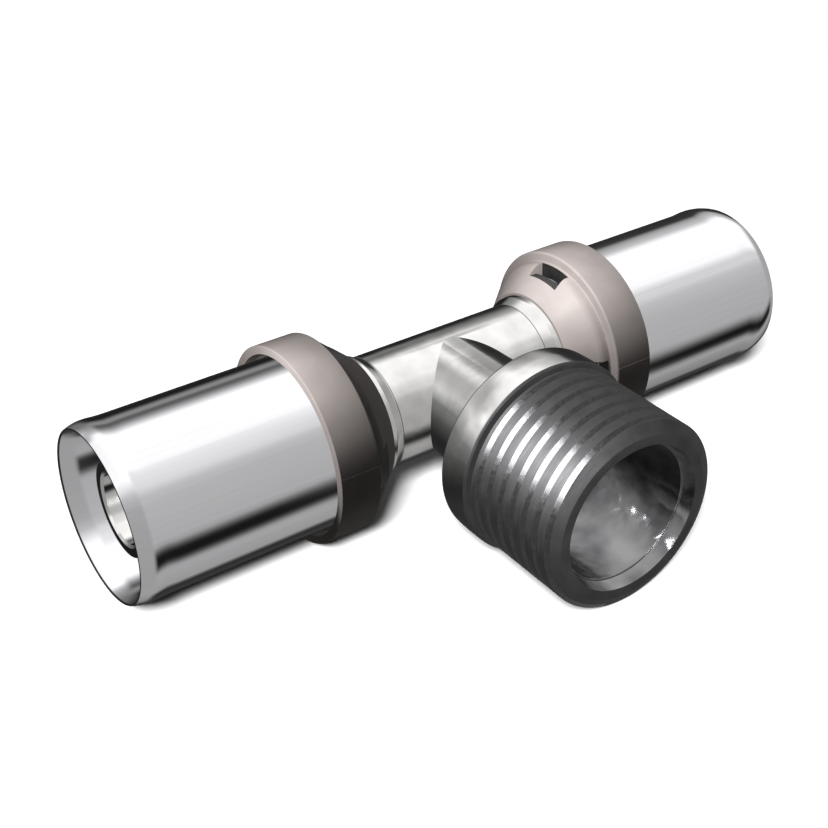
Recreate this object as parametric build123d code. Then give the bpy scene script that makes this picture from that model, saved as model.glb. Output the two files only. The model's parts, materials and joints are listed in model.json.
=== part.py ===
from build123d import *
import math
import os

# Press tee for multilayer pipe: two press sockets on a straight run and a male threaded branch.
# The run lies along X and the branch points along -Y. The origin is where their axes cross.
# All sizes are in millimetres, and stations along an axis are measured from the origin.

# Pipe that the sockets take
pipe_diameter = 16.0
pipe_wall = 2.0
insert_clearance = 0.15
pocket_clearance = 0.25

# Tee body, run side
run_bore = 7.8
tube_diameter = 12.9
tube_half_length = 10.1
collar_taper = 1.1
collar_rise = 0.55
collar_show = 0.6
flange_rise = 0.5
flange_thickness = 0.8
insert_length = 25.5
tip_taper = 1.6
tip_drop = 0.7

# Grip teeth on each insert, counted from the pipe stop
tooth_count = 4
tooth_pitch = 1.8
tooth_depth = 0.35
tooth_offset = 3.0

# O-rings on each insert, counted back from the tip
seal_cord = 1.5
seal_squeeze = 0.25
seal_groove_width = 1.9
seal_groove_slack = 0.03
seal_tip_offset = 6.1
seal_spacing = 6.5
seal_count = 2

# Plastic retaining ring
lip_length = 1.15
lip_wall = 0.3
snap_clearance = 0.05
flange_clearance = 0.1
web_thickness = 0.75
pocket_depth = 2.1
back_length = 4.1
back_wall = 0.3
back_land = 1.1
back_round = 1.2
band_height = 1.15
band_length = 4.85
band_foot_round = 0.12
band_back_round = 0.25
band_front_round = 0.08
recess_room = 0.5
recess_depth = 1.5
recess_taper = 0.4
window_count = 4
window_width = 4.6
window_start = 1.85
window_length = 1.95
window_undercut = 0.05
ledge_length = 1.0
ledge_drop = 0.05

# Stainless press sleeve
sleeve_room = 1.0
sleeve_wall = 0.6
sleeve_length = 25.65
sleeve_clearance = 0.05
bead_length = 3.4
bead_rise = 0.2
bead_start_round = 14.0
bead_round = 4.0
nose_length = 1.2
rim_drop = 0.25
rim_wall = 0.13
flare_length = 1.9
flare_round = 6.0

# Branch, stations measured down the branch axis
neck_diameter = 12.8
neck_flare_diameter = 13.4
neck_length = 12.2
hub_back = 14.4
hub_front = 18.35
hub_rise = 0.5
hub_back_drop = 0.05
hub_front_drop = 0.2
hub_back_round = 0.25
hub_crown_round = 6.0
hub_front_round = 0.2
branch_reach = 31.45
lead_in = 0.65
lead_in_drop = 1.28
mouth_depth = 1.45
mouth_step = 0.24
mouth_opening = 0.28
branch_bore = 15.2
branch_bore_end = 15.5
drill_angle = 118.0
branch_port = 7.4

# Male thread of the branch, drawn as rings at the true pitch
thread_diameter = 20.955
thread_pitch = 1.814
thread_depth = 0.65
thread_angle = 55.0
thread_root_flat = 0.1
thread_runout = 0.35
thread_end_land = 0.15

# Stations along the run
ring_start = tube_half_length + collar_taper + collar_show
lip_end = ring_start + lip_length
flange_start = lip_end + snap_clearance
flange_end = flange_start + flange_thickness
web_start = flange_end + snap_clearance
pipe_stop = web_start + web_thickness
sleeve_seat = pipe_stop + pocket_depth
sleeve_start = sleeve_seat + sleeve_clearance
sleeve_end = sleeve_start + sleeve_length
band_start = ring_start + back_length
band_end = band_start + band_length
insert_tip = pipe_stop + insert_length

# Radii that follow from the sizes above
insert_radius = pipe_diameter / 2 - pipe_wall - insert_clearance
pocket_radius = pipe_diameter / 2 + pocket_clearance
seal_outer_radius = pipe_diameter / 2 - pipe_wall + seal_squeeze
seal_centre_radius = seal_outer_radius - seal_cord / 2
seal_groove_radius = seal_outer_radius - seal_cord - seal_groove_slack
collar_radius = tube_diameter / 2 + collar_rise
flange_radius = collar_radius + flange_rise
lip_radius = collar_radius + snap_clearance
cone_start_radius = lip_radius + lip_wall
sleeve_bore_radius = pipe_diameter / 2 + sleeve_room
sleeve_radius = sleeve_bore_radius + sleeve_wall
rim_radius = sleeve_radius - rim_drop
seat_radius = sleeve_radius + sleeve_clearance
back_radius = seat_radius + back_wall
band_radius = back_radius + band_height
thread_radius = thread_diameter / 2
sides = {"left": -1, "right": 1}


def turned(corners, axis):
    """Solid turned about an axis from corners given as (station, radius, corner rounding)."""
    points = [axis.direction * station + Vector(0, 0, radius) for station, radius, _ in corners]
    face = make_face(Polyline(*points, close=True)).face()
    for point, (_, _, rounding) in zip(points, corners):
        if rounding > 0:
            corner = face.vertices().sort_by_distance(point)[0]
            face = face.fillet_2d(rounding, [corner])
    return revolve(face, axis)


def grip_teeth(start):
    """Saw-tooth stretch of an insert: steep towards the pipe stop, gentle towards the tip."""
    corners = [(start, insert_radius, 0)]
    for number in range(1, tooth_count + 1):
        station = start + number * tooth_pitch
        corners += [(station, insert_radius - tooth_depth, 0), (station, insert_radius, 0)]
    return corners


def seal_stations():
    """Middle of each O-ring groove, from the pipe stop outwards."""
    first = insert_tip - seal_tip_offset
    return [first - number * seal_spacing for number in reversed(range(seal_count))]


def seal_grooves():
    """Square grooves that the O-rings lie in."""
    corners = []
    for middle in seal_stations():
        low = middle - seal_groove_width / 2
        high = middle + seal_groove_width / 2
        corners += [(low, insert_radius, 0), (low, seal_groove_radius, 0)]
        corners += [(high, seal_groove_radius, 0), (high, insert_radius, 0)]
    return corners


def run_half():
    """Outline of one half of the run, from the middle of the tube to the tip of the insert."""
    return [
        (tube_half_length, tube_diameter / 2, 0),
        (tube_half_length + collar_taper, collar_radius, 0),
        (flange_start, collar_radius, 0),
        (flange_start, flange_radius, 0),
        (flange_end, flange_radius, 0),
        (flange_end, insert_radius, 0),
        *grip_teeth(pipe_stop + tooth_offset),
        *seal_grooves(),
        (insert_tip - tip_taper, insert_radius, 0),
        (insert_tip, insert_radius - tip_drop, 0),
    ]


def thread_rings():
    """Grooves of the male thread, from the hub to the mouth, one pitch apart."""
    flank = thread_depth * math.tan(math.radians(thread_angle / 2))
    half_opening = thread_root_flat / 2 + flank
    last = branch_reach - lead_in - thread_end_land - half_opening
    room = last - half_opening - hub_front - thread_runout
    corners = []
    for number in reversed(range(int(room / thread_pitch) + 1)):
        middle = last - number * thread_pitch
        corners += [
            (middle - half_opening, thread_radius, 0),
            (middle - thread_root_flat / 2, thread_radius - thread_depth, 0),
            (middle + thread_root_flat / 2, thread_radius - thread_depth, 0),
            (middle + half_opening, thread_radius, 0),
        ]
    return corners


def make_branch():
    """Neck, hub and threaded spigot, still solid."""
    hub_middle = (hub_back + hub_front) / 2
    hub_radius = thread_radius + hub_rise
    front_round = min(hub_front_round, 0.8 * (hub_rise - hub_front_drop))
    corners = [
        (0, 0, 0),
        (0, neck_diameter / 2, 0),
        (neck_length, neck_flare_diameter / 2, 0),
        (hub_back, hub_radius - hub_back_drop, hub_back_round),
        (hub_middle, hub_radius, hub_crown_round),
        (hub_front, hub_radius - hub_front_drop, front_round),
        (hub_front, thread_radius, 0),
        *thread_rings(),
        (branch_reach - lead_in, thread_radius, 0),
        (branch_reach, thread_radius - lead_in_drop, 0),
        (branch_reach, 0, 0),
    ]
    return turned(corners, Axis((0, 0, 0), (0, -1, 0)))


def make_branch_waterway():
    """Hollow of the branch: a relieved mouth, a wide bore, a drilled cone and the port."""
    cone = (branch_bore - branch_port) / 2 / math.tan(math.radians(drill_angle / 2))
    mouth_radius = branch_bore / 2 + mouth_step
    corners = [
        (0, 0, 0),
        (0, branch_port / 2, 0),
        (branch_bore_end - cone, branch_port / 2, 0),
        (branch_bore_end, branch_bore / 2, 0),
        (branch_reach - mouth_depth, branch_bore / 2, 0),
        (branch_reach - mouth_depth, mouth_radius, 0),
        (branch_reach, mouth_radius + mouth_opening, 0),
        (branch_reach, 0, 0),
    ]
    return turned(corners, Axis((0, 0, 0), (0, -1, 0)))


def make_tee_body():
    """Brass body in one piece: run tube, two inserts, neck, hub and threaded spigot."""
    right = run_half()
    left = [(-station, radius, rounding) for station, radius, rounding in reversed(right)]
    run = turned([(-insert_tip, 0, 0), *left, *right, (insert_tip, 0, 0)], Axis.X)
    run_waterway = Rot(0, 90, 0) * Cylinder(run_bore / 2, 2 * insert_tip)
    return run + make_branch() - make_branch_waterway() - run_waterway


def make_window_cut(cone_slope):
    """Cut for the top window: a round ledge level with the cone, then a slot down into the pocket."""
    floor = math.sqrt(pocket_radius**2 - (window_width / 2) ** 2) - window_undercut
    reach = band_radius - floor
    window_middle = ring_start + window_start + window_length / 2
    cut = Pos(window_middle, 0, floor + reach / 2) * Box(window_length, window_width, reach)
    ledge_radius = cone_start_radius + window_start * cone_slope - ledge_drop
    ledge_end = window_start + ledge_length
    ledge = Pos(ring_start + ledge_end / 2, 0, 0) * Rot(0, 90, 0) * Cylinder(ledge_radius, ledge_end)
    return cut - ledge


def make_retaining_ring():
    """Plastic ring of the right-hand socket: it clips over the flange and holds the sleeve."""
    cone_end = band_start - back_land
    corners = [
        (ring_start, lip_radius, 0),
        (ring_start, cone_start_radius, 0),
        (cone_end, back_radius, back_round),
        (band_start, back_radius, band_foot_round),
        (band_start, band_radius, band_back_round),
        (band_end, band_radius, band_front_round),
        (band_end, seat_radius + recess_room, 0),
        (band_end - recess_depth, seat_radius + recess_room, 0),
        (band_end - recess_depth - recess_taper, seat_radius, 0),
        (sleeve_seat, seat_radius, 0),
        (sleeve_seat, pocket_radius, 0),
        (pipe_stop, pocket_radius, 0),
        (pipe_stop, insert_radius + flange_clearance, 0),
        (web_start, insert_radius + flange_clearance, 0),
        (web_start, flange_radius + flange_clearance, 0),
        (lip_end, flange_radius + flange_clearance, 0),
        (lip_end, lip_radius, 0),
    ]
    window = make_window_cut((back_radius - cone_start_radius) / (cone_end - ring_start))
    ring = turned(corners, Axis.X)
    for number in range(window_count):
        ring -= Rot(number * 360 / window_count, 0, 0) * window
    return ring


def make_sleeve():
    """Stainless sleeve of the right-hand socket: a low bead and a rounded nose at its outer end."""
    corners = [
        (sleeve_start, sleeve_bore_radius, 0),
        (sleeve_start, sleeve_radius, 0),
        (sleeve_end - bead_length, sleeve_radius, bead_start_round),
        (sleeve_end - nose_length, sleeve_radius + bead_rise, bead_round),
        (sleeve_end, rim_radius, 0),
        (sleeve_end, rim_radius - rim_wall, 0),
        (sleeve_end - flare_length, sleeve_bore_radius, flare_round),
    ]
    return turned(corners, Axis.X)


def make_o_ring(station):
    """One O-ring of the right-hand socket, in its free shape."""
    return Pos(station, 0, 0) * Rot(0, 90, 0) * Torus(seal_centre_radius, seal_cord / 2)


def on_side(shape, side):
    """The right-hand piece itself, or its mirror image for the left-hand socket."""
    return shape if side > 0 else mirror(shape, Plane.YZ)


os.makedirs("parts", exist_ok=True)
export_step(make_tee_body(), "parts/tee_body.step")
for side_name, side in sides.items():
    export_step(on_side(make_retaining_ring(), side), f"parts/retaining_ring_{side_name}.step")
    export_step(on_side(make_sleeve(), side), f"parts/press_sleeve_{side_name}.step")
    for place, station in zip(("inner", "outer"), seal_stations()):
        export_step(on_side(make_o_ring(station), side), f"parts/o_ring_{side_name}_{place}.step")
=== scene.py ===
import json
import math
import bmesh
import bpy
from mathutils import Matrix, Vector

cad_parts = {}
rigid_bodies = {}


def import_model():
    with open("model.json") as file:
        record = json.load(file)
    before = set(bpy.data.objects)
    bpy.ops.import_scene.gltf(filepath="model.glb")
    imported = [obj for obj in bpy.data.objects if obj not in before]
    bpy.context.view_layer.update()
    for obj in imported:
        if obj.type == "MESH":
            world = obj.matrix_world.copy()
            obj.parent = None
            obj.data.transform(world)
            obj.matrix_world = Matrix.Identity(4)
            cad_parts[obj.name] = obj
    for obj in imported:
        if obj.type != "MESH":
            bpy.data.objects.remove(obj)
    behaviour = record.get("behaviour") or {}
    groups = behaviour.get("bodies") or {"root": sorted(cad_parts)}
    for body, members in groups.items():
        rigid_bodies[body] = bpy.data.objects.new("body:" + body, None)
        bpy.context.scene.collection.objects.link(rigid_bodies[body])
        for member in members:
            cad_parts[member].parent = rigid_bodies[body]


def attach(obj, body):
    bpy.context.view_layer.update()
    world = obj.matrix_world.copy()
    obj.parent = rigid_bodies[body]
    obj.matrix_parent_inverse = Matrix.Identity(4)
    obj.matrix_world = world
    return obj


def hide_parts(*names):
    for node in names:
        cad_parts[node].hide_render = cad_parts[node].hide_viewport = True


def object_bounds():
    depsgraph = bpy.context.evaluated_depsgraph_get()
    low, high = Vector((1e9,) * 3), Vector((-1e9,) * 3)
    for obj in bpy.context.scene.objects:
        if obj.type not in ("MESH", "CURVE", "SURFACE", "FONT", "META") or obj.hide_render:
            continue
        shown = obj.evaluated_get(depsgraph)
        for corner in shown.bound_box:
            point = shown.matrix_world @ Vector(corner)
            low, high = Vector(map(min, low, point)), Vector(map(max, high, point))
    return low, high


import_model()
cadLow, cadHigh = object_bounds()
mm = 0.001  # the lists below are in millimetres, Blender works in metres
weldGap = 1e-7  # points nearer than this, in metres, are joined into one
matchGap = 1e-6  # how near, in metres, a point has to be to the place asked for
degreesPerFace = 9  # how far one face of a rounded corner bends
axes = {
    "run": {"along": Vector((1, 0, 0)), "out": Vector((0, 0, 1))},
    "branch": {"along": Vector((0, -1, 0)), "out": Vector((0, 0, 1))},
}
builtPieces = []


def startFresh():
    if bpy.context.mode != "OBJECT":
        bpy.ops.object.mode_set(mode="OBJECT")
    bpy.ops.object.select_all(action="DESELECT")


def pickOnly(piece):
    startFresh()
    piece.select_set(True)
    bpy.context.view_layer.objects.active = piece


def selectWhere(piece, kind, test):
    # in edit mode, selects the verts, edges or faces that pass the test and nothing else
    bpy.ops.mesh.select_mode(type=kind)
    bpy.ops.mesh.select_all(action="DESELECT")
    mesh = bmesh.from_edit_mesh(piece.data)
    parts = {"VERT": mesh.verts, "EDGE": mesh.edges, "FACE": mesh.faces}[kind]
    for part in parts:
        if test(part):
            part.select_set(True)
    mesh.select_flush_mode()
    bmesh.update_edit_mesh(piece.data)


def spinProfile(name, profile, axis, steps):
    # draws a closed outline vertex by vertex from a small plane, spins it round the axis and rounds its corners
    along, out = axes[axis]["along"], axes[axis]["out"]
    places = [(along * station + out * radius) * mm for station, radius, _ in profile]
    startFresh()
    bpy.ops.mesh.primitive_plane_add(size=mm, location=places[0])
    piece = bpy.context.object
    piece.name = piece.data.name = name
    bpy.ops.object.mode_set(mode="EDIT")
    bpy.ops.mesh.select_mode(type="VERT")
    bpy.ops.mesh.select_all(action="SELECT")
    bpy.ops.mesh.merge(type="CENTER")
    for here, there in zip(places, places[1:]):
        bpy.ops.mesh.extrude_vertices_move(TRANSFORM_OT_translate={"value": there - here})
    bpy.ops.object.mode_set(mode="OBJECT")
    bpy.ops.object.transform_apply(location=True, rotation=True, scale=True)
    bpy.ops.object.mode_set(mode="EDIT")
    ends = (places[0], places[-1])
    selectWhere(piece, "VERT", lambda v: min((v.co - end).length for end in ends) < weldGap)
    bpy.ops.mesh.edge_face_add()
    bpy.ops.mesh.select_all(action="SELECT")
    bpy.ops.mesh.spin(steps=steps, angle=2 * math.pi, center=(0, 0, 0), axis=along)
    bpy.ops.mesh.select_all(action="SELECT")
    bpy.ops.mesh.remove_doubles(threshold=weldGap)
    bpy.ops.mesh.delete_loose()
    bpy.ops.mesh.select_all(action="SELECT")
    bpy.ops.mesh.normals_make_consistent(inside=False)
    for number, (station, radius, rounding) in enumerate(profile):
        if rounding > 0:
            before = Vector(profile[number - 1][:2]) - Vector((station, radius))
            after = Vector(profile[(number + 1) % len(profile)][:2]) - Vector((station, radius))
            turn = math.pi - before.angle(after)

            def onCorner(edge):
                return all(
                    abs(v.co.dot(along) - station * mm) < matchGap
                    and abs((v.co - along * v.co.dot(along)).length - radius * mm) < matchGap
                    for v in edge.verts
                )

            selectWhere(piece, "EDGE", onCorner)
            bpy.ops.mesh.bevel(
                offset=rounding * math.tan(turn / 2) * mm,
                segments=max(2, math.ceil(math.degrees(turn) / degreesPerFace)),
                affect="EDGES",
                clamp_overlap=True,
            )
    bpy.ops.object.mode_set(mode="OBJECT")
    return piece


def combine(piece, other, operation):
    # Boolean with another piece, which is used up
    pickOnly(piece)
    cut = piece.modifiers.new("combine", "BOOLEAN")
    cut.operation = operation
    cut.solver = "EXACT"
    cut.object = other
    bpy.ops.object.modifier_apply(modifier=cut.name)
    bpy.data.objects.remove(other)


def mirrorToLeft(piece, name):
    # the left-hand copy of a right-hand piece, with its own mesh
    pickOnly(piece)
    bpy.ops.object.duplicate()
    twin = bpy.context.object
    twin.name = twin.data.name = name
    bpy.ops.object.mode_set(mode="EDIT")
    bpy.ops.mesh.select_all(action="SELECT")
    bpy.ops.transform.resize(value=(-1, 1, 1), center_override=(0, 0, 0))
    bpy.ops.mesh.normals_make_consistent(inside=False)
    bpy.ops.object.mode_set(mode="OBJECT")
    return twin


def paintFaces(piece, slotNumber, test):
    # gives the faces that pass the test another of the piece's finishes
    pickOnly(piece)
    bpy.ops.object.mode_set(mode="EDIT")
    selectWhere(piece, "FACE", test)
    piece.active_material_index = slotNumber
    bpy.ops.object.material_slot_assign()
    bpy.ops.object.mode_set(mode="OBJECT")


def finishPiece(piece, finishes, painted, node, smoothAngle):
    # finishes[0] covers the piece, painted has a test for the faces of each other one
    pickOnly(piece)
    bpy.ops.object.transform_apply(location=True, rotation=True, scale=True)
    for finish in finishes:
        piece.data.materials.append(finish)
    for number, test in enumerate(painted):
        paintFaces(piece, number + 1, test)
    bpy.ops.object.shade_smooth_by_angle(angle=math.radians(smoothAngle))
    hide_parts(node)
    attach(piece, "root")
    builtPieces.append(piece)


def toLinear(hexColour):
    values = [int(hexColour[i:i + 2], 16) / 255 for i in (1, 3, 5)]
    return (*[v / 12.92 if v <= 0.04045 else ((v + 0.055) / 1.055) ** 2.4 for v in values], 1)


def addNode(tree, kind, values=None, links=None, **settings):
    node = tree.nodes.new(kind)
    for key, value in settings.items():
        setattr(node, key, value)
    for key, value in (values or {}).items():
        node.inputs[key].default_value = value
    for key, source in (links or {}).items():
        tree.links.new(source, node.inputs[key])
    return node


def newFinish(name):
    finish = bpy.data.materials.new(name)
    finish.use_nodes = True
    finish.node_tree.nodes.clear()
    return finish, finish.node_tree


def setStops(ramp, stops):
    # stops are (position, grey or hex colour)
    elements = ramp.color_ramp.elements
    while len(elements) > 1:
        elements.remove(elements[-1])
    for number, (position, colour) in enumerate(stops):
        element = elements[0] if number == 0 else elements.new(position)
        element.position = position
        element.color = toLinear(colour) if isinstance(colour, str) else (colour, colour, colour, 1)


def makeStainless():
    # drawn stainless tube, polished along its length: mirror bright, with long faint draw lines
    finish, tree = newFinish("polishedStainlessTube")
    place = addNode(tree, "ShaderNodeTexCoord")
    # draw lines are 0.02 to 0.1 mm apart on the real tube, drawn here about 0.35 mm apart so that they show
    drawn = addNode(tree, "ShaderNodeMapping", {"Scale": (25, 2800, 2800)}, {"Vector": place.outputs["Object"]})
    lines = addNode(tree, "ShaderNodeTexNoise", {"Scale": 1, "Detail": 3, "Roughness": 0.55},
                    {"Vector": drawn.outputs["Vector"]})
    # slow waves left by drawing, a few millimetres apart round the tube
    slow = addNode(tree, "ShaderNodeMapping", {"Scale": (12, 330, 330)}, {"Vector": place.outputs["Object"]})
    waves = addNode(tree, "ShaderNodeTexNoise", {"Scale": 1, "Detail": 1.5}, {"Vector": slow.outputs["Vector"]})
    # fingerprints and handling haze, about 4 mm across
    haze = addNode(tree, "ShaderNodeTexNoise", {"Scale": 240, "Detail": 4}, {"Vector": place.outputs["Object"]})
    tone = addNode(tree, "ShaderNodeValToRGB", links={"Fac": lines.outputs["Fac"]})
    setStops(tone, [(0.3, "#d9d9db"), (0.7, "#dddddf")])
    mixed = addNode(tree, "ShaderNodeMath", {1: 0.5}, {0: lines.outputs["Fac"]}, operation="MULTIPLY")
    both = addNode(tree, "ShaderNodeMath", links={0: mixed.outputs[0], 1: haze.outputs["Fac"]}, operation="ADD")
    gloss = addNode(tree, "ShaderNodeMapRange", {"From Min": 0.4, "From Max": 1.1, "To Min": 0.05, "To Max": 0.10},
                    {"Value": both.outputs[0]})
    low = addNode(tree, "ShaderNodeBump", {"Strength": 0.12, "Distance": 0.00002}, {"Height": waves.outputs["Fac"]})
    fine = addNode(tree, "ShaderNodeBump", {"Strength": 0.01, "Distance": 0.000002},
                   {"Height": lines.outputs["Fac"], "Normal": low.outputs["Normal"]})
    shader = addNode(tree, "ShaderNodeBsdfPrincipled", {"Metallic": 1},
                     {"Base Color": tone.outputs["Color"], "Roughness": gloss.outputs["Result"],
                      "Normal": fine.outputs["Normal"]})
    addNode(tree, "ShaderNodeOutputMaterial", links={"Surface": shader.outputs["BSDF"]})
    return finish


def makeNickel():
    # bright nickel plating on forged brass: a soft mirror with a fine grain over gentle forging waves
    finish, tree = newFinish("brightNickelPlating")
    place = addNode(tree, "ShaderNodeTexCoord")
    # forging waves under the plating, about 3 mm across
    waves = addNode(tree, "ShaderNodeTexNoise", {"Scale": 330, "Detail": 2}, {"Vector": place.outputs["Object"]})
    # plating grain is a few microns, drawn here at 0.3 mm
    grain = addNode(tree, "ShaderNodeTexNoise", {"Scale": 3300, "Detail": 2}, {"Vector": place.outputs["Object"]})
    tone = addNode(tree, "ShaderNodeValToRGB", links={"Fac": waves.outputs["Fac"]})
    setStops(tone, [(0.3, "#c9c8c6"), (0.7, "#dddcda")])
    gloss = addNode(tree, "ShaderNodeMapRange", {"From Min": 0.3, "From Max": 0.7, "To Min": 0.08, "To Max": 0.14},
                    {"Value": waves.outputs["Fac"]})
    low = addNode(tree, "ShaderNodeBump", {"Strength": 0.6, "Distance": 0.00006}, {"Height": waves.outputs["Fac"]})
    fine = addNode(tree, "ShaderNodeBump", {"Strength": 0.12, "Distance": 0.000006},
                   {"Height": grain.outputs["Fac"], "Normal": low.outputs["Normal"]})
    shader = addNode(tree, "ShaderNodeBsdfPrincipled", {"Metallic": 1},
                     {"Base Color": tone.outputs["Color"], "Roughness": gloss.outputs["Result"],
                      "Normal": fine.outputs["Normal"]})
    addNode(tree, "ShaderNodeOutputMaterial", links={"Surface": shader.outputs["BSDF"]})
    return finish


def makeThreadMetalAndEdgeShade():
    # crests of the cut thread: graphite grey and satin, with turning marks; the same finish is painted on the
    # sleeves' cut edges and on the hub's front rounded edge as painted shade
    finish, tree = newFinish("darkPlatedThreadAndEdgeShade")
    place = addNode(tree, "ShaderNodeTexCoord")
    # turning marks follow the cutter, 0.1 mm apart, drawn at about 0.25 mm
    marks = addNode(tree, "ShaderNodeMapping", {"Scale": (300, 4000, 300)}, {"Vector": place.outputs["Object"]})
    turning = addNode(tree, "ShaderNodeTexNoise", {"Scale": 1, "Detail": 3}, {"Vector": marks.outputs["Vector"]})
    cloud = addNode(tree, "ShaderNodeTexNoise", {"Scale": 500, "Detail": 3}, {"Vector": place.outputs["Object"]})
    tone = addNode(tree, "ShaderNodeValToRGB", links={"Fac": cloud.outputs["Fac"]})
    setStops(tone, [(0.3, "#3e3e3f"), (0.7, "#474748")])
    gloss = addNode(tree, "ShaderNodeMapRange", {"From Min": 0.3, "From Max": 0.7, "To Min": 0.5, "To Max": 0.6},
                    {"Value": turning.outputs["Fac"]})
    rough = addNode(tree, "ShaderNodeBump", {"Strength": 0.2, "Distance": 0.00001},
                    {"Height": turning.outputs["Fac"]})
    shader = addNode(tree, "ShaderNodeBsdfPrincipled", {"Metallic": 1},
                     {"Base Color": tone.outputs["Color"], "Roughness": gloss.outputs["Result"],
                      "Normal": rough.outputs["Normal"]})
    addNode(tree, "ShaderNodeOutputMaterial", links={"Surface": shader.outputs["BSDF"]})
    return finish


def makeGrooveMetalAndTipShade():
    # grooves of the thread, burnished by the cutter: dark, but bright enough to flash; the same finish is painted on
    # the tips of the inserts as painted shade
    finish, tree = newFinish("burnishedGrooveAndTipShade")
    place = addNode(tree, "ShaderNodeTexCoord")
    # chatter from the cutter, about 0.4 mm
    chatter = addNode(tree, "ShaderNodeTexNoise", {"Scale": 2500, "Detail": 2}, {"Vector": place.outputs["Object"]})
    tone = addNode(tree, "ShaderNodeValToRGB", links={"Fac": chatter.outputs["Fac"]})
    setStops(tone, [(0.3, "#4e4e4f"), (0.7, "#585859")])
    gloss = addNode(tree, "ShaderNodeMapRange", {"From Min": 0.3, "From Max": 0.7, "To Min": 0.18, "To Max": 0.23},
                    {"Value": chatter.outputs["Fac"]})
    fine = addNode(tree, "ShaderNodeBump", {"Strength": 0.04, "Distance": 0.000008},
                   {"Height": chatter.outputs["Fac"]})
    shader = addNode(tree, "ShaderNodeBsdfPrincipled", {"Metallic": 1},
                     {"Base Color": tone.outputs["Color"], "Roughness": gloss.outputs["Result"],
                      "Normal": fine.outputs["Normal"]})
    addNode(tree, "ShaderNodeOutputMaterial", links={"Surface": shader.outputs["BSDF"]})
    return finish


def makeBoreMetal():
    # bore of the branch, nickel plated as forged: a dull mirror, crumpled by the scale that the die left
    finish, tree = newFinish("platedForgedBore")
    place = addNode(tree, "ShaderNodeTexCoord")
    bend = addNode(tree, "ShaderNodeTexNoise", {"Scale": 250, "Detail": 2}, {"Vector": place.outputs["Object"]})
    warp = addNode(tree, "ShaderNodeMixRGB", {"Fac": 0.004},
                   {"Color1": place.outputs["Object"], "Color2": bend.outputs["Color"]})
    # dents about 6 mm long and 3 to 4 mm wide
    dents = addNode(tree, "ShaderNodeMapping", {"Scale": (230, 150, 380), "Rotation": (0.5, 0.3, 0.6)},
                    {"Vector": warp.outputs["Color"]})
    cells = addNode(tree, "ShaderNodeTexVoronoi", {"Scale": 1, "Smoothness": 0.3},
                    {"Vector": dents.outputs["Vector"]}, feature="SMOOTH_F1")
    # plated grain is about 0.02 mm, drawn at 0.25 mm
    grain = addNode(tree, "ShaderNodeTexNoise", {"Scale": 4000, "Detail": 2}, {"Vector": place.outputs["Object"]})
    tone = addNode(tree, "ShaderNodeValToRGB", links={"Fac": bend.outputs["Fac"]})
    setStops(tone, [(0.3, "#58585a"), (0.7, "#878788")])
    gloss = addNode(tree, "ShaderNodeMapRange", {"From Min": 0.3, "From Max": 0.7, "To Min": 0.22, "To Max": 0.28},
                    {"Value": grain.outputs["Fac"]})
    low = addNode(tree, "ShaderNodeBump", {"Strength": 1, "Distance": 0.00019}, {"Height": cells.outputs["Distance"]})
    fine = addNode(tree, "ShaderNodeBump", {"Strength": 0.1, "Distance": 0.000008},
                   {"Height": grain.outputs["Fac"], "Normal": low.outputs["Normal"]})
    shader = addNode(tree, "ShaderNodeBsdfPrincipled", {"Metallic": 1},
                     {"Base Color": tone.outputs["Color"], "Roughness": gloss.outputs["Result"],
                      "Normal": fine.outputs["Normal"]})
    addNode(tree, "ShaderNodeOutputMaterial", links={"Surface": shader.outputs["BSDF"]})
    return finish


def makeTaupePlastic():
    # glass-filled polyamide, moulded: taupe, satin, with flow clouds and a fine grain from the mould
    finish, tree = newFinish("taupePolyamide")
    place = addNode(tree, "ShaderNodeTexCoord")
    clouds = addNode(tree, "ShaderNodeTexNoise", {"Scale": 260, "Detail": 3}, {"Vector": place.outputs["Object"]})
    # mould grain is about 0.05 mm, drawn at 0.2 mm
    grain = addNode(tree, "ShaderNodeTexNoise", {"Scale": 5000, "Detail": 2}, {"Vector": place.outputs["Object"]})
    tone = addNode(tree, "ShaderNodeValToRGB", links={"Fac": clouds.outputs["Fac"]})
    setStops(tone, [(0.3, "#98908d"), (0.7, "#a49c99")])
    gloss = addNode(tree, "ShaderNodeMapRange", {"From Min": 0.3, "From Max": 0.7, "To Min": 0.42, "To Max": 0.5},
                    {"Value": grain.outputs["Fac"]})
    rough = addNode(tree, "ShaderNodeBump", {"Strength": 0.15, "Distance": 0.00002}, {"Height": grain.outputs["Fac"]})
    shader = addNode(tree, "ShaderNodeBsdfPrincipled", {"Metallic": 0, "IOR": 1.53, "Specular IOR Level": 0.1},
                     {"Base Color": tone.outputs["Color"], "Roughness": gloss.outputs["Result"],
                      "Normal": rough.outputs["Normal"]})
    addNode(tree, "ShaderNodeOutputMaterial", links={"Surface": shader.outputs["BSDF"]})
    return finish


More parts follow.
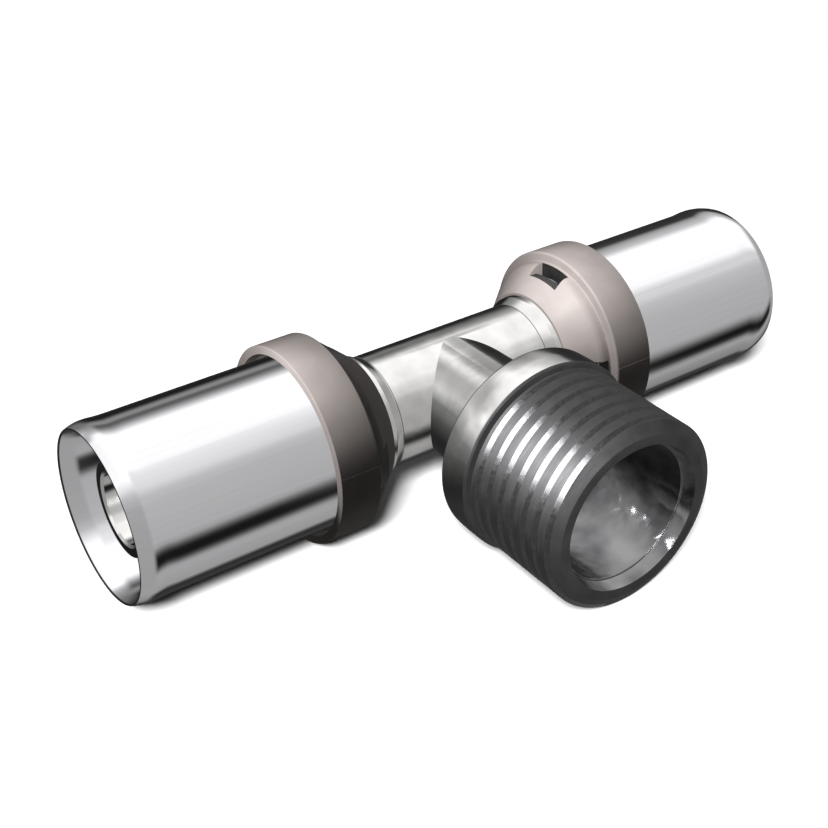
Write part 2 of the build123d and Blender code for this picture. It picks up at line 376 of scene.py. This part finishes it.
def makeSealRubberAndWindowShade():
    # moulded EPDM seal: near black, matt, with a faint bloom; the same finish is painted into the windows of the
    # retaining rings as painted shade
    finish, tree = newFinish("sealRubberAndWindowShade")
    place = addNode(tree, "ShaderNodeTexCoord")
    bloom = addNode(tree, "ShaderNodeTexNoise", {"Scale": 900, "Detail": 4}, {"Vector": place.outputs["Object"]})
    tone = addNode(tree, "ShaderNodeValToRGB", links={"Fac": bloom.outputs["Fac"]})
    setStops(tone, [(0.35, "#141414"), (0.75, "#222221")])
    gloss = addNode(tree, "ShaderNodeMapRange", {"From Min": 0.3, "From Max": 0.7, "To Min": 0.45, "To Max": 0.62},
                    {"Value": bloom.outputs["Fac"]})
    rough = addNode(tree, "ShaderNodeBump", {"Strength": 0.2, "Distance": 0.00001}, {"Height": bloom.outputs["Fac"]})
    shader = addNode(tree, "ShaderNodeBsdfPrincipled", {"Metallic": 0, "IOR": 1.52},
                     {"Base Color": tone.outputs["Color"], "Roughness": gloss.outputs["Result"],
                      "Normal": rough.outputs["Normal"]})
    addNode(tree, "ShaderNodeOutputMaterial", links={"Surface": shader.outputs["BSDF"]})
    return finish


stainless = makeStainless()
nickel = makeNickel()
threadMetalAndEdgeShade = makeThreadMetalAndEdgeShade()
grooveMetalAndTipShade = makeGrooveMetalAndTipShade()
boreMetal = makeBoreMetal()
taupe = makeTaupePlastic()
rubberAndWindowShade = makeSealRubberAndWindowShade()
print("finishes: 7")

teeBody = {
    "steps": 192,
    # one half of the run: (station, radius, rounding)
    "run": [
        (0, 6.45, 0), (9.95, 6.45, 0), (9.98, 6.36, 0), (10.08, 6.36, 0), (10.1, 6.45, 0), (11.2, 7.0, 0.3),
        (13.0, 7.0, 0), (13.0, 7.5, 0.12), (13.8, 7.5, 0.12), (13.8, 5.85, 0), (17.6, 5.85, 0),
        (19.4, 5.5, 0), (19.4, 5.85, 0.06), (21.2, 5.5, 0), (21.2, 5.85, 0.06),
        (23.0, 5.5, 0), (23.0, 5.85, 0.06), (24.8, 5.5, 0), (24.8, 5.85, 0.06),
        (26.55, 5.85, 0.1), (26.55, 4.72, 0.1), (28.45, 4.72, 0.1), (28.45, 5.85, 0.1),
        (33.05, 5.85, 0.1), (33.05, 4.72, 0.1), (34.95, 4.72, 0.1), (34.95, 5.85, 0.1),
        (38.5, 5.85, 0.8), (40.1, 5.15, 0.15),
    ],
    "runBore": 3.9,
    "boreLeadIn": 0.25,
    "cutterOverrun": 0.3,
    "branch": [
        (0, 0, 0), (0, 6.4, 0), (12.2, 6.7, 0.5), (14.4, 10.9, 0.4), (16.2, 10.98, 8.0), (18.35, 10.94, 0.25),
        (18.35, 10.0, 0), (18.78, 10.0, 0), (18.78, 10.4775, 0.06), (30.8, 10.4775, 0.08), (31.45, 9.2, 0.1),
        (31.45, 0, 0),
    ],
    "branchBore": [
        (0, 0, 0), (0, 3.7, 0), (13.157, 3.7, 0), (15.5, 7.6, 0), (30.0, 7.6, 0.08), (30.0, 7.84, 0.05),
        (31.45, 8.12, 0), (31.9, 8.3, 0), (31.9, 0, 0),
    ],
    # the groove starts in the relief between the hub and the thread, and runs out through the mouth
    "thread": {"pitch": 1.814, "radius": 10.4775, "depth": 0.57, "rootFlat": 0.1, "angle": 55, "proud": 0.15,
               "first": 18.85, "startTurn": -22.8, "turns": 8, "stepsPerTurn": 96},
    # where the finishes change, as stations along the branch or the run, and as radii
    # painted shade: this start lies on the hub's front rounded edge, so that edge is painted dark
    "threadFinishAndHubShadeStart": 18.052,
    "grooveStart": 18.95,
    "grooveRadii": (9.8, 10.4275),
    "bevelStart": (30.8, 10.4775),
    "bevelEnd": (31.45, 9.2),
    "bevelSlack": 0.03,
    "boreStart": 3,
    "mouthStep": 8.05,
    "tipStart": 38.4,
    "tipInside": 4.2,
    "smoothAngle": 14,
}


def makeThreadCutter(thread):
    # the groove of a right-hand thread: a small plane shaped to the groove and screwed down the branch
    flank = math.tan(math.radians(thread["angle"] / 2))
    halfRoot = thread["rootFlat"] / 2
    halfTop = halfRoot + (thread["depth"] + thread["proud"]) * flank
    low, high = thread["radius"] - thread["depth"], thread["radius"] + thread["proud"]
    middle = Vector((0, -thread["first"], (low + high) / 2)) * mm
    startFresh()
    bpy.ops.mesh.primitive_plane_add(size=(high - low) * mm, location=middle, rotation=(0, math.radians(90), 0))
    cutter = bpy.context.object
    cutter.name = "threadCutter"
    bpy.ops.object.transform_apply(location=True, rotation=True, scale=True)
    bpy.ops.object.mode_set(mode="EDIT")
    for half, isTop in ((halfRoot, False), (halfTop, True)):
        selectWhere(cutter, "VERT", lambda v: (v.co.z > middle.z) == isTop)
        bpy.ops.transform.resize(value=(1, 2 * half / (high - low), 1), center_override=middle)
    bpy.ops.mesh.select_all(action="SELECT")
    bpy.ops.transform.rotate(value=math.radians(thread["startTurn"] - 90), orient_axis="Y", center_override=(0, 0, 0))
    bpy.ops.mesh.delete(type="ONLY_FACE")
    bpy.ops.object.mode_set(mode="OBJECT")
    screw = cutter.modifiers.new("screw", "SCREW")
    screw.axis = "Y"
    screw.angle = math.radians(-360)
    screw.screw_offset = -thread["pitch"] * mm
    screw.iterations = thread["turns"]
    screw.steps = screw.render_steps = thread["stepsPerTurn"]
    screw.use_merge_vertices = True
    screw.merge_threshold = weldGap
    bpy.ops.object.modifier_apply(modifier=screw.name)
    bpy.ops.object.mode_set(mode="EDIT")
    bpy.ops.mesh.select_mode(type="EDGE")
    bpy.ops.mesh.select_all(action="DESELECT")
    bpy.ops.mesh.select_non_manifold()
    bpy.ops.mesh.fill()
    bpy.ops.mesh.select_all(action="SELECT")
    bpy.ops.mesh.normals_make_consistent(inside=False)
    bpy.ops.object.mode_set(mode="OBJECT")
    return cutter


def makeTeeBody(settings):
    steps = settings["steps"]
    half = settings["run"]
    tip = half[-1][0]
    outline = [(-tip, 0, 0)] + [(-s, r, c) for s, r, c in reversed(half[1:])] + half[1:] + [(tip, 0, 0)]
    body = spinProfile("teeBody", outline, "run", steps)
    branch = spinProfile("branchBlank", settings["branch"], "branch", steps)
    cutter = makeThreadCutter(settings["thread"])
    combine(branch, cutter, "DIFFERENCE")
    print("thread cut")
    combine(body, branch, "UNION")
    bore = settings["runBore"]
    leadIn = settings["boreLeadIn"]
    past = tip + settings["cutterOverrun"]
    wide = bore + leadIn + settings["cutterOverrun"]
    boreOutline = [(-past, 0, 0), (-past, wide, 0), (leadIn - tip, bore, 0), (tip - leadIn, bore, 0), (past, wide, 0),
                   (past, 0, 0)]
    combine(body, spinProfile("runBoreCutter", boreOutline, "run", steps), "DIFFERENCE")
    combine(body, spinProfile("branchBoreCutter", settings["branchBore"], "branch", steps), "DIFFERENCE")
    print("tee body: one solid,", len(body.data.polygons), "faces")
    return body


def sortTeeFaces(settings):
    # the tests for the thread, with painted shade on the hub's front edge, for its groove with painted shade on the
    # tips of the inserts, and for the bore of the branch
    (bevelStation, bevelRadius), (mouthStation, mouthRadius) = settings["bevelStart"], settings["bevelEnd"]
    slope = (bevelRadius - mouthRadius) / (mouthStation - bevelStation)
    grooveLow, grooveHigh = settings["grooveRadii"]

    def branchPlace(face):
        spot = face.calc_center_median() / mm
        return -spot.y, math.hypot(spot.x, spot.z)

    # painted shade: the dark thread finish also covers the hub's own front rounded edge, darkening it
    def inThreadZoneWithHubEdgeShade(face):
        station, radius = branchPlace(face)
        return station > settings["threadFinishAndHubShadeStart"] and radius > settings["mouthStep"]

    def inGroove(face):
        station, radius = branchPlace(face)
        onBevel = abs(radius - bevelRadius + slope * (station - bevelStation)) < settings["bevelSlack"]
        return station > settings["grooveStart"] and grooveLow < radius < grooveHigh and not onBevel

    def inBore(face):
        station, radius = branchPlace(face)
        spot = face.calc_center_median()
        looksIn = face.normal.x * spot.x + face.normal.z * spot.z < 0
        return station > settings["boreStart"] and radius < settings["mouthStep"] and looksIn

    # painted shade: the tips of the inserts are painted with the dark groove finish, standing in for the shade in the
    # gap round them
    def onShadedTip(face):
        spot = face.calc_center_median() / mm
        return abs(spot.x) > settings["tipStart"] and math.hypot(spot.y, spot.z) > settings["tipInside"]

    return [inThreadZoneWithHubEdgeShade, lambda face: inGroove(face) or onShadedTip(face), inBore]


# painted shade: the thread finish darkens the hub's front edge, and the groove finish darkens the insert tips
body = makeTeeBody(teeBody)
finishPiece(body, [nickel, threadMetalAndEdgeShade, grooveMetalAndTipShade, boreMetal], sortTeeFaces(teeBody), "tee_body",
            teeBody["smoothAngle"])

retainingRing = {
    "steps": 192,
    "profile": [
        (11.8, 7.05, 0), (11.8, 7.35, 0.1), (14.8, 9.95, 1.2), (15.9, 9.95, 0.12), (15.9, 11.1, 0.25),
        (20.75, 11.1, 0.08), (20.75, 10.15, 0.03), (19.25, 10.15, 0), (18.85, 9.65, 0), (16.7, 9.65, 0),
        (16.7, 8.25, 0), (14.6, 8.25, 0), (14.6, 5.95, 0), (13.85, 5.95, 0), (13.85, 7.6, 0), (12.95, 7.6, 0),
        (12.95, 7.05, 0),
    ],
    "windows": 4,
    "windowStart": 13.65,
    "windowLength": 1.95,
    "windowWidth": 4.6,
    "windowFloor": 7.87,
    "windowTop": 11.1,
    # the ledge in front of each window: start, end, radius
    "ledge": (11.8, 14.65, 8.903),
    # which faces of a window get painted shade: how far inside its ends and sides, and between which radii
    "windowShadeFaces": {"endGap": 0.01, "sideGap": 0.05, "radii": (7.37, 9.8)},
    # parting line of the mould across the band
    "seam": {"turn": 8, "station": 18.3, "length": 4.5, "width": 0.07, "height": 0.05},
    "smoothAngle": 14,
}


def makeWindowCutter(settings, turn):
    # a box that stops at a round ledge level with the cone, and goes down into the pocket behind it
    middle = ((settings["windowStart"] + settings["windowLength"] / 2) * mm, 0,
              (settings["windowFloor"] + settings["windowTop"]) / 2 * mm)
    startFresh()
    bpy.ops.mesh.primitive_cube_add(size=mm, location=middle)
    window = bpy.context.object
    bpy.ops.object.transform_apply(location=True, rotation=True, scale=True)
    bpy.ops.object.mode_set(mode="EDIT")
    bpy.ops.mesh.select_all(action="SELECT")
    bpy.ops.transform.resize(
        value=(settings["windowLength"], settings["windowWidth"], settings["windowTop"] - settings["windowFloor"]),
        center_override=middle)
    bpy.ops.transform.rotate(value=math.radians(turn), orient_axis="X", center_override=(0, 0, 0))
    bpy.ops.object.mode_set(mode="OBJECT")
    start, end, radius = settings["ledge"]
    ledge = spinProfile("windowLedge", [(start, 0, 0), (start, radius, 0), (end, radius, 0), (end, 0, 0)], "run",
                        settings["steps"])
    combine(window, ledge, "DIFFERENCE")
    return window


def makeRetainingRing(settings):
    ring = spinProfile("retainingRingRight", settings["profile"], "run", settings["steps"])
    seam = settings["seam"]
    startFresh()
    bpy.ops.mesh.primitive_cube_add(size=mm, location=(0, 0, 0))
    rib = bpy.context.object
    bpy.ops.object.mode_set(mode="EDIT")
    bpy.ops.mesh.select_all(action="SELECT")
    bpy.ops.transform.resize(value=(seam["length"], seam["height"], seam["width"]))
    bpy.ops.transform.translate(value=(seam["station"] * mm, -settings["windowTop"] * mm, 0))
    bpy.ops.transform.rotate(value=math.radians(seam["turn"]), orient_axis="X", center_override=(0, 0, 0))
    bpy.ops.object.mode_set(mode="OBJECT")
    combine(ring, rib, "UNION")
    for number in range(settings["windows"]):
        combine(ring, makeWindowCutter(settings, 360 / settings["windows"] * number), "DIFFERENCE")
    return ring


ringRight = makeRetainingRing(retainingRing)
ringLeft = mirrorToLeft(ringRight, "retainingRingLeft")


def inShadedWindow(face):
    # the floor and the back wall of a window, painted near black as painted shade in the hollow
    spot = face.calc_center_median() / mm
    limits = retainingRing["windowShadeFaces"]
    inner, outer = limits["radii"]
    start = retainingRing["windowStart"] + limits["endGap"]
    halfWidth = retainingRing["windowWidth"] / 2 - limits["sideGap"]
    return (start < abs(spot.x) < start + retainingRing["windowLength"] and min(abs(spot.y), abs(spot.z)) < halfWidth
            and inner < math.hypot(spot.y, spot.z) < outer)


# the rubber finish is painted into the windows as painted shade
for piece, node in ((ringRight, "retaining_ring_right"), (ringLeft, "retaining_ring_left")):
    finishPiece(piece, [taupe, rubberAndWindowShade], [inShadedWindow], node, retainingRing["smoothAngle"])
print("retaining rings: 2")

pressSleeve = {
    "steps": 192,
    "profile": [
        (16.75, 9.0, 0), (16.75, 9.6, 0.15), (39.0, 9.6, 14.0), (41.2, 9.8, 4.0), (42.4, 9.35, 0.08), (42.4, 9.24, 0),
        (42.2, 9.19, 0), (40.5, 9.0, 6.0),
    ],
    "rimStart": 42.25,
    "smoothAngle": 40,
}


def onShadedRim(face):
    # the cut and deburred edge of the tube, painted dark as a thin line of painted shade round the rim
    return abs(face.calc_center_median().x) > pressSleeve["rimStart"] * mm


sleeveRight = spinProfile("pressSleeveRight", pressSleeve["profile"], "run", pressSleeve["steps"])
sleeveLeft = mirrorToLeft(sleeveRight, "pressSleeveLeft")
# the rims get the dark thread finish as painted shade
for piece, node in ((sleeveRight, "press_sleeve_right"), (sleeveLeft, "press_sleeve_left")):
    finishPiece(piece, [stainless, threadMetalAndEdgeShade], [onShadedRim], node, pressSleeve["smoothAngle"])
print("press sleeves: 2")

oRing = {"ringRadius": 5.5, "cord": 1.5, "aroundRing": 96, "aroundCord": 24, "splitWidth": 0.05, "smoothAngle": 60,
         "stations": {"inner": 27.5, "outer": 34.0}}


def makeORing(settings, station, name):
    # a moulded ring: a torus with the thin flat band that the two mould halves leave round its inside and outside
    startFresh()
    bpy.ops.mesh.primitive_torus_add(
        location=(station * mm, 0, 0), rotation=(0, math.radians(90), 0),
        major_radius=settings["ringRadius"] * mm, minor_radius=settings["cord"] / 2 * mm,
        major_segments=settings["aroundRing"], minor_segments=settings["aroundCord"])
    ring = bpy.context.object
    ring.name = ring.data.name = name
    bpy.ops.object.transform_apply(location=True, rotation=True, scale=True)
    bpy.ops.object.mode_set(mode="EDIT")

    def onSplit(edge):
        return all(abs(v.co.x - station * mm) < matchGap for v in edge.verts)

    selectWhere(ring, "EDGE", onSplit)
    bpy.ops.mesh.bevel(offset=settings["splitWidth"] * mm, segments=2, affect="EDGES")
    bpy.ops.object.mode_set(mode="OBJECT")
    return ring


for place, station in oRing["stations"].items():
    seal = makeORing(oRing, station, "oRingRight" + place.capitalize())
    twin = mirrorToLeft(seal, "oRingLeft" + place.capitalize())
    for piece, hand in ((seal, "right"), (twin, "left")):
        finishPiece(piece, [rubberAndWindowShade], [], f"o_ring_{hand}_{place}", oRing["smoothAngle"])
print("O-rings: 4")

cameraSettings = {"azimuth": -34.1194, "elevation": 32.2553, "roll": -1.3591,
                  "place": (-82.63, -115.59, 85.90), "lens": 64.16, "sensor": 36, "clipStart": 5}
startFresh()
bpy.ops.object.camera_add()
camera = bpy.context.object
camera.data.sensor_width = cameraSettings["sensor"]
camera.data.lens = cameraSettings["lens"]
camera.data.clip_start = cameraSettings["clipStart"] * mm
camera.matrix_world = (
    Matrix.Translation(Vector(cameraSettings["place"]) * mm)
    @ Matrix.Rotation(math.radians(cameraSettings["azimuth"]), 4, "Z")
    @ Matrix.Rotation(math.radians(90 - cameraSettings["elevation"]), 4, "X")
    @ Matrix.Rotation(math.radians(cameraSettings["roll"]), 4, "Z")
)
bpy.context.scene.camera = camera
bpy.context.scene.view_settings.view_transform = "Standard"
print("camera ready")

# what polished metal sees round it, as angles from the front horizon up over the top (90) to the back (180)
surroundings = {
    "sides": {
        "farRight": [(-180, 0.03), (-111, 0.05), (-106, 0.09), (-100, 0.28), (-90, 0.32), (-80, 0.38), (-74, 0.46),
                     (-69, 0.42), (-64, 0.26), (-59, 0.06), (-54, 0.012), (-48, 0.012), (-43, 0.08), (-38, 0.22),
                     (-33, 0.42), (-27, 0.55), (0, 0.58), (20, 0.61), (39, 0.70), (45, 0.80), (49, 0.90), (58, 0.90),
                     (70, 1.4), (127, 1.5), (132, 1.3), (137, 0.95), (141, 0.74), (147, 0.62), (153, 0.50),
                     (158, 0.33), (163, 0.09), (168, 0.04)],
        "right": [(-180, 0.012), (-123, 0.05), (-104, 0.035), (-101, 0.08), (-97, 0.22), (-93, 0.42), (-63, 0.51),
                  (-59, 0.46), (-55, 0.27), (-51, 0.09), (-46, 0.012), (-37, 0.012), (-33, 0.05), (-28, 0.20),
                  (-23, 0.46), (-17, 0.56), (30, 0.625), (42, 0.73), (46, 0.85), (50, 0.98), (70, 1.15), (76, 1.4),
                  (131, 1.45), (138, 0.85), (141, 0.62), (145, 0.38), (151, 0.16), (156, 0.14), (161, 0.32),
                  (166, 0.33), (170, 0.20), (176, 0.03)],
        "left": [(-180, 0.20), (-161, 0.11), (-151, 0.07), (-143, 0.04), (-138, 0.025), (-120, 0.05), (-105, 0.35),
                 (-90, 0.45), (-40, 0.46), (0, 0.48), (30, 0.52), (45, 0.70), (55, 1.1), (65, 1.5), (134, 1.5),
                 (138, 1.4), (141, 1.0), (145, 0.70), (150, 0.50), (160, 0.35), (170, 0.22)],
        "farLeft": [(-180, 0.24), (-172, 0.20), (-161, 0.11), (-151, 0.07), (-143, 0.04), (-138, 0.025), (-120, 0.05),
                    (-105, 0.35), (-90, 0.45), (-40, 0.46), (0, 0.48), (30, 0.52), (45, 0.70), (55, 1.1), (65, 1.4),
                    (130, 1.3), (132, 1.08), (135, 0.80), (138, 0.62), (141, 0.62), (145, 0.66), (149, 0.76),
                    (153, 0.84), (158, 0.64), (163, 0.52), (168, 0.42), (173, 0.26)],
    },
    # from which x to which x of the direction each side takes over from the one before
    "mixes": [("left", -0.20, 0.10), ("right", 0.12, 0.27), ("farRight", 0.40, 0.62)],
    "rightEnd": {"from": 0.82, "to": 0.94, "level": 0.50},
    # the dim light that plastic, rubber and floor get
    "diffuseTop": 0.08,
    "diffuseBottom": 0.02,
    "diffuseBack": 0.16,
}


def makeWorld(settings):
    world = bpy.data.worlds.new("studio")
    bpy.context.scene.world = world
    world.use_nodes = True
    tree = world.node_tree
    tree.nodes.clear()
    # the angle round the run, as a fraction of a turn, picks the level from each side's list
    look = addNode(tree, "ShaderNodeTexCoord")
    split = addNode(tree, "ShaderNodeSeparateXYZ", links={"Vector": look.outputs["Generated"]})
    front = addNode(tree, "ShaderNodeMath", {1: -1}, {0: split.outputs["Y"]}, operation="MULTIPLY")
    angle = addNode(tree, "ShaderNodeMath", links={0: split.outputs["Z"], 1: front.outputs[0]}, operation="ARCTAN2")
    turn = addNode(tree, "ShaderNodeMath", {1: 1 / (2 * math.pi), 2: 0.5}, {0: angle.outputs[0]},
                   operation="MULTIPLY_ADD")
    sides = {}
    for side, stops in settings["sides"].items():
        ramp = addNode(tree, "ShaderNodeValToRGB", links={"Fac": turn.outputs[0]})
        setStops(ramp, [((degrees + 180) / 360, level) for degrees, level in stops])
        sides[side] = ramp.outputs["Color"]
    room = sides["farLeft"]
    for side, low, high in settings["mixes"]:
        across = addNode(tree, "ShaderNodeMapRange", {"From Min": low, "From Max": high},
                         {"Value": split.outputs["X"]}, interpolation_type="SMOOTHSTEP")
        room = addNode(tree, "ShaderNodeMix", links={0: across.outputs["Result"], 6: room, 7: sides[side]},
                       data_type="RGBA").outputs[2]
    end = settings["rightEnd"]
    atEnd = addNode(tree, "ShaderNodeMapRange", {"From Min": end["from"], "From Max": end["to"]},
                    {"Value": split.outputs["X"]}, interpolation_type="SMOOTHSTEP")
    seen = addNode(tree, "ShaderNodeMix", {7: (end["level"],) * 3 + (1,)},
                   {0: atEnd.outputs["Result"], 6: room}, data_type="RGBA")
    mirrored = addNode(tree, "ShaderNodeBackground", links={"Color": seen.outputs[2]})
    height = addNode(tree, "ShaderNodeMapRange",
                     {"From Min": 0, "From Max": 1, "To Min": settings["diffuseBottom"],
                      "To Max": settings["diffuseTop"]}, {"Value": split.outputs["Z"]})
    behind = addNode(tree, "ShaderNodeMapRange",
                     {"From Min": 0, "From Max": 1, "To Min": 0, "To Max": settings["diffuseBack"]},
                     {"Value": split.outputs["Y"]})
    dim = addNode(tree, "ShaderNodeMath", links={0: height.outputs["Result"], 1: behind.outputs["Result"]},
                  operation="ADD")
    ambient = addNode(tree, "ShaderNodeBackground", {"Color": (1, 1, 1, 1)}, {"Strength": dim.outputs[0]})
    white = addNode(tree, "ShaderNodeBackground", {"Color": (1, 1, 1, 1), "Strength": 1})
    path = addNode(tree, "ShaderNodeLightPath")
    # plating shows the room to the camera only, and throws just the dim light on to the plastic and the floor
    direct = addNode(tree, "ShaderNodeMath", {1: 0.5}, {0: path.outputs["Diffuse Depth"]}, operation="LESS_THAN")
    mirror = addNode(tree, "ShaderNodeMath", links={0: path.outputs["Is Glossy Ray"], 1: direct.outputs[0]},
                     operation="MULTIPLY")
    first = addNode(tree, "ShaderNodeMixShader",
                    links={0: mirror.outputs[0], 1: ambient.outputs[0], 2: mirrored.outputs[0]})
    last = addNode(tree, "ShaderNodeMixShader",
                   links={0: path.outputs["Is Camera Ray"], 1: first.outputs[0], 2: white.outputs[0]})
    addNode(tree, "ShaderNodeOutputWorld", links={"Surface": last.outputs[0]})


makeWorld(surroundings)

# each lamp lights only the pieces named; the flank lamp is so low that only the floor may shade it
lamps = {
    "leftRingLamp": {"place": (-33, -6.0, 20.4), "aim": (-20, 0, 0), "size": 6, "power": 0.0072,
                     "lights": ["retainingRingLeft"]},
    "rightRingLamp": {"place": (2.5, -7.2, 25.0), "aim": (16, 0, 0), "size": 6, "power": 0.0100,
                      "lights": ["retainingRingRight"]},
    "crestLamp": {"place": (-255, 87, 220), "aim": (0, -25, 0), "size": 60, "power": 4, "lights": ["teeBody"]},
    "flankLamp": {"place": (-29, -391, 42), "aim": (0, -25, 0), "size": 138, "power": 1.3, "lights": ["teeBody"],
                  "shadedBy": ["floor"]},
    "floorLamp": {"place": (-890, -954, 1170), "aim": (0, 0, 0), "size": 380, "power": 97, "lights": ["floor"]},
}
# the paper fades out between the two distances, so that no horizon shows in low views
floorSettings = {"height": cadLow.z / mm, "size": 3000, "grey": 0.6, "fadeFrom": 90, "fadeTo": 200}
startFresh()
bpy.ops.mesh.primitive_plane_add(size=floorSettings["size"] * mm, location=(0, 0, floorSettings["height"] * mm))
floor = bpy.context.object
floor.name = "floor"
paper, paperTree = newFinish("whitePaper")
matt = addNode(paperTree, "ShaderNodeBsdfDiffuse", {"Color": (floorSettings["grey"],) * 3 + (1,)})
clear = addNode(paperTree, "ShaderNodeBsdfTransparent")
side = addNode(paperTree, "ShaderNodeNewGeometry")  # the underside is clear, for views from below
spot = addNode(paperTree, "ShaderNodeTexCoord")
reach = addNode(paperTree, "ShaderNodeVectorMath", links={0: spot.outputs["Object"]}, operation="LENGTH")
fade = addNode(paperTree, "ShaderNodeMapRange",
               {"From Min": floorSettings["fadeFrom"] * mm, "From Max": floorSettings["fadeTo"] * mm},
               {"Value": reach.outputs["Value"]}, interpolation_type="SMOOTHSTEP")
hidden = addNode(paperTree, "ShaderNodeMath", links={0: side.outputs["Backfacing"], 1: fade.outputs["Result"]},
                 operation="MAXIMUM")
sheet = addNode(paperTree, "ShaderNodeMixShader",
                links={0: hidden.outputs[0], 1: matt.outputs[0], 2: clear.outputs[0]})
addNode(paperTree, "ShaderNodeOutputMaterial", links={"Surface": sheet.outputs[0]})
floor.data.materials.append(paper)
floor.visible_glossy = False
floor.visible_diffuse = False

for name, settings in lamps.items():
    place, aim = Vector(settings["place"]) * mm, Vector(settings["aim"]) * mm
    startFresh()
    bpy.ops.object.light_add(type="AREA", location=place)
    lamp = bpy.context.object
    lamp.name = name
    lamp.data.size = settings["size"] * mm
    lamp.data.energy = settings["power"]
    lamp.rotation_euler = (aim - place).to_track_quat("-Z", "Y").to_euler()
    lit = bpy.data.collections.new(name + "Lights")
    for piece in settings["lights"]:
        lit.objects.link(bpy.data.objects[piece])
    lamp.light_linking.receiver_collection = lit
    if "shadedBy" in settings:
        shade = bpy.data.collections.new(name + "Shade")
        for piece in settings["shadedBy"]:
            shade.objects.link(bpy.data.objects[piece])
        lamp.light_linking.blocker_collection = shade
# the pieces mirror the studio but not each other, and the lit tee throws no glow back on to the plastic
for piece in builtPieces:
    piece.visible_glossy = False
bpy.data.objects["teeBody"].visible_diffuse = False
print("studio ready")
